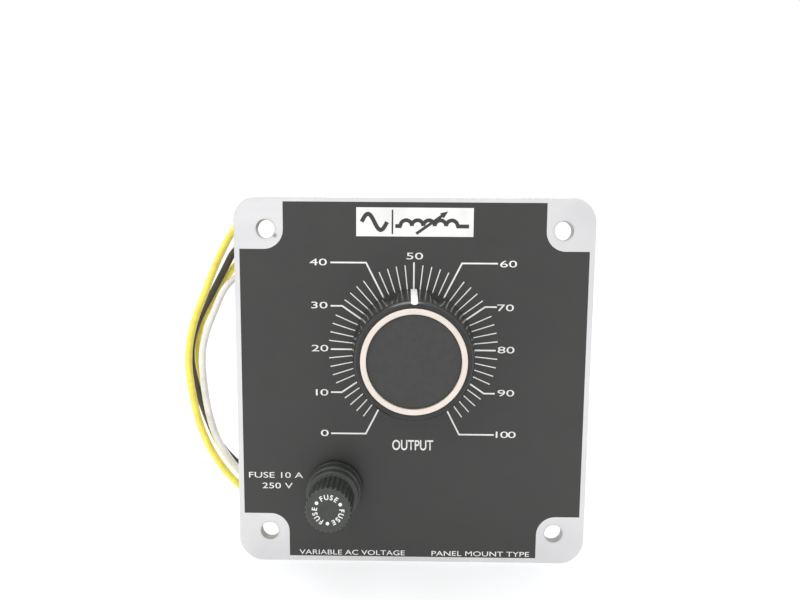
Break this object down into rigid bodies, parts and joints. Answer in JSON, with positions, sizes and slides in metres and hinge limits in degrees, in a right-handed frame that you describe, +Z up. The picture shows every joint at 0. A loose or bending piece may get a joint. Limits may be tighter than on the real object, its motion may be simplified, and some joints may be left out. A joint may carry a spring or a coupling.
{
  "type": "variable autotransformer",
  "caption": "Panel-mounted variable autotransformer with a square face plate, round dial knob, fuse holder and four fly leads.",
  "frame": {"origin": "middle of the four corner holes, on the back face of the face plate", "axes": "+X right and +Z up as the dial reads, -Y out of the front of the plate towards the user"},
  "size_m": [0.1388, 0.0792, 0.1202],
  "materials": {
    "satin_aluminium": "satin, fine grain, lightly marked at the holes",
    "zinc_steel": "zinc plated",
    "cast_aluminium": "as cast, slightly rough",
    "bronze": "oil-filled, dull",
    "spring_steel": "plain",
    "pressboard": "pressed fibre board",
    "enamelled_copper": "enamelled magnet wire",
    "insulating_wrap": "varnished tape",
    "core_steel": "strip wound",
    "brown_phenolic": "laminated sheet",
    "brass": "plain",
    "shaft_steel": "ground",
    "nylon": "natural",
    "arm_aluminium": "milled",
    "black_oxide_steel": "black oxide",
    "graphite": "pressed carbon",
    "black_moulding": "moulded, satin to gloss",
    "bright_aluminium": "spun and polished",
    "black_pebble": "fine pebble grain",
    "tinned_brass": "tin plated",
    "black_rubber": "moulded",
    "fuse_glass": "clear",
    "nickel_brass": "nickel plated",
    "fuse_wire": "drawn wire",
    "yellow_insulation": "extruded insulation",
    "black_insulation": "extruded insulation",
    "white_insulation": "extruded insulation",
    "tinned_copper": "twisted and tinned"
  },
  "bodies": {
    "chassis": {"base_casting": "cast_aluminium", "board_screws": "zinc_steel", "board_spacers": "bright_aluminium", "clamp_screws": "zinc_steel", "coil_clamp": "brown_phenolic", "coil_pad": "pressboard", "collector_plate": "brass", "core_wrap": "insulating_wrap", "face_plate": "satin_aluminium", "front_bushing": "bronze", "fuse_body": "black_moulding", "fuse_end_terminal": "tinned_brass", "fuse_gasket": "black_rubber", "fuse_nut": "black_moulding", "fuse_nut_washer": "zinc_steel", "fuse_side_terminal": "tinned_brass", "fuse_spring": "spring_steel", "jumper_fuse": "black_insulation", "jumper_line": "black_insulation", "jumper_neutral": "white_insulation", "jumper_output": "yellow_insulation", "lead_black": "black_insulation", "lead_black_end": "tinned_copper", "lead_sockets": "nylon", "lead_white": "white_insulation", "lead_white_end": "tinned_copper", "lead_yellow_inner": "yellow_insulation", "lead_yellow_inner_end": "tinned_copper", "lead_yellow_outer": "yellow_insulation", "lead_yellow_outer_end": "tinned_copper", "lock_washers": "zinc_steel", "panel_studs": "zinc_steel", "rear_bushing": "bronze", "stop_pin": "zinc_steel", "stud_nuts": "zinc_steel", "terminal_board": "brown_phenolic", "terminal_rivets": "brass", "terminal_tabs": "tinned_brass", "toroid_core": "core_steel", "winding": "enamelled_copper"},
    "rotor": {"dial_shaft": "shaft_steel", "retaining_ring": "spring_steel", "thrust_washer": "nylon", "brush_arm": "arm_aluminium", "arm_set_screw": "black_oxide_steel", "brush_holder": "brass", "brush_cap": "brown_phenolic", "brush_spring": "spring_steel", "collector_finger": "bronze", "knob_body": "black_moulding", "knob_insert": "brass", "knob_set_screw": "black_oxide_steel", "knob_ring": "bright_aluminium", "knob_disc": "black_pebble"},
    "brush": {"carbon_brush": "graphite"},
    "cartridge": {"fuse_glass": "fuse_glass", "fuse_end_caps": "nickel_brass", "fuse_element": "fuse_wire"},
    "cap": {"fuse_cap": "black_moulding"}
  },
  "joints": [
    {"name": "dial_turn", "type": "hinge", "parent": "chassis", "child": "rotor", "pos_m": [0, 0, 0.0115], "axis": [0, 1, 0], "range_deg": [-150, 150]},
    {"name": "brush_travel", "type": "slide", "parent": "rotor", "child": "brush", "axis": [0, 1, 0], "range_m": [0, 0.0015], "stiffness_N_per_m": 150, "deforming": ["brush_spring"]},
    {"name": "fuse_pull", "type": "slide", "parent": "chassis", "child": "cartridge", "axis": [0, -1, 0], "range_m": [0, 0.045]},
    {"name": "fuse_cap_turn", "type": "hinge", "parent": "cartridge", "child": "cap", "pos_m": [-0.0252, -0.01, -0.0343], "axis": [0, -1, 0], "range_deg": [0, 90]}
  ]
}
